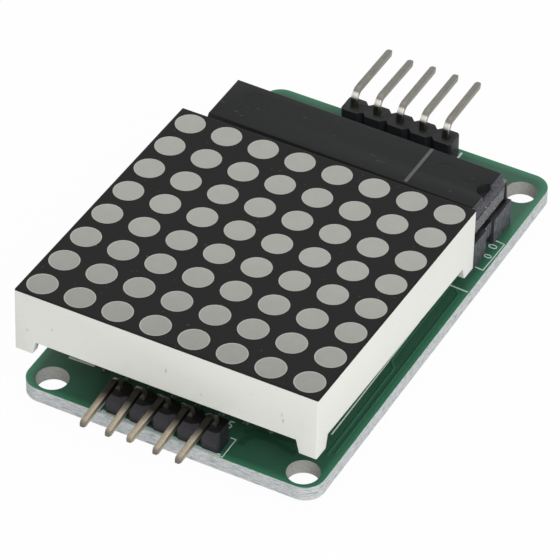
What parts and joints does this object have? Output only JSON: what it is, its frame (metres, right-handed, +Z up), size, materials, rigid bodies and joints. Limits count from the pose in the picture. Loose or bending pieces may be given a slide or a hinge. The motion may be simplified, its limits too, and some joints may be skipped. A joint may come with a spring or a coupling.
{
  "type": "led dot matrix display module",
  "caption": "Green circuit board with a raised square LED dot matrix, a socketed driver chip and bent pin headers at both ends.",
  "frame": {"origin": "centre of the four mounting holes on the underside of the circuit board", "axes": "+X across the board, +Y from the input header to the output header, +Z up out of the LED face side"},
  "size_m": [0.0321, 0.0616, 0.0135],
  "materials": {
    "board_green": "glass-fibre laminate under green solder mask",
    "housing_white": "moulded white, slightly satin",
    "face_black": "black printed face",
    "resin_milky": "milky grey epoxy",
    "carrier_tan": "bare laminate",
    "die_grey": "semiconductor chips",
    "chip_black": "fine matt moulding compound",
    "socket_black": "satin moulding",
    "header_black": "satin moulding",
    "tin": "matt tin plating",
    "pin_tin": "warm tin plating, worn",
    "resistor_coat": "beige lacquer",
    "ceramic_coat": "dipped resin coat",
    "can_sleeve": "shrink sleeve",
    "bung_rubber": "rubber seal"
  },
  "bodies": {
    "root": {"circuit_board": "board_green", "matrix_housing": "housing_white", "matrix_face": "face_black", "matrix_resin": "resin_milky", "led_carrier_board": "carrier_tan", "led_dies": "die_grey", "matrix_pins_near": "tin", "matrix_pins_far": "tin", "driver_chip_body": "chip_black", "driver_chip_leads": "tin", "chip_socket_body": "socket_black", "chip_socket_contacts": "tin", "input_header_body": "header_black", "output_header_body": "header_black", "input_pin_1": "pin_tin", "input_pin_2": "pin_tin", "input_pin_3": "pin_tin", "input_pin_4": "pin_tin", "input_pin_5": "pin_tin", "output_pin_1": "pin_tin", "output_pin_2": "pin_tin", "output_pin_3": "pin_tin", "output_pin_4": "pin_tin", "output_pin_5": "pin_tin", "resistor_body": "resistor_coat", "resistor_leads": "tin", "bypass_capacitor_body": "ceramic_coat", "bypass_capacitor_leads": "tin", "storage_capacitor_can": "can_sleeve", "storage_capacitor_bung": "bung_rubber", "storage_capacitor_leads": "tin"}
  },
  "joints": []
}
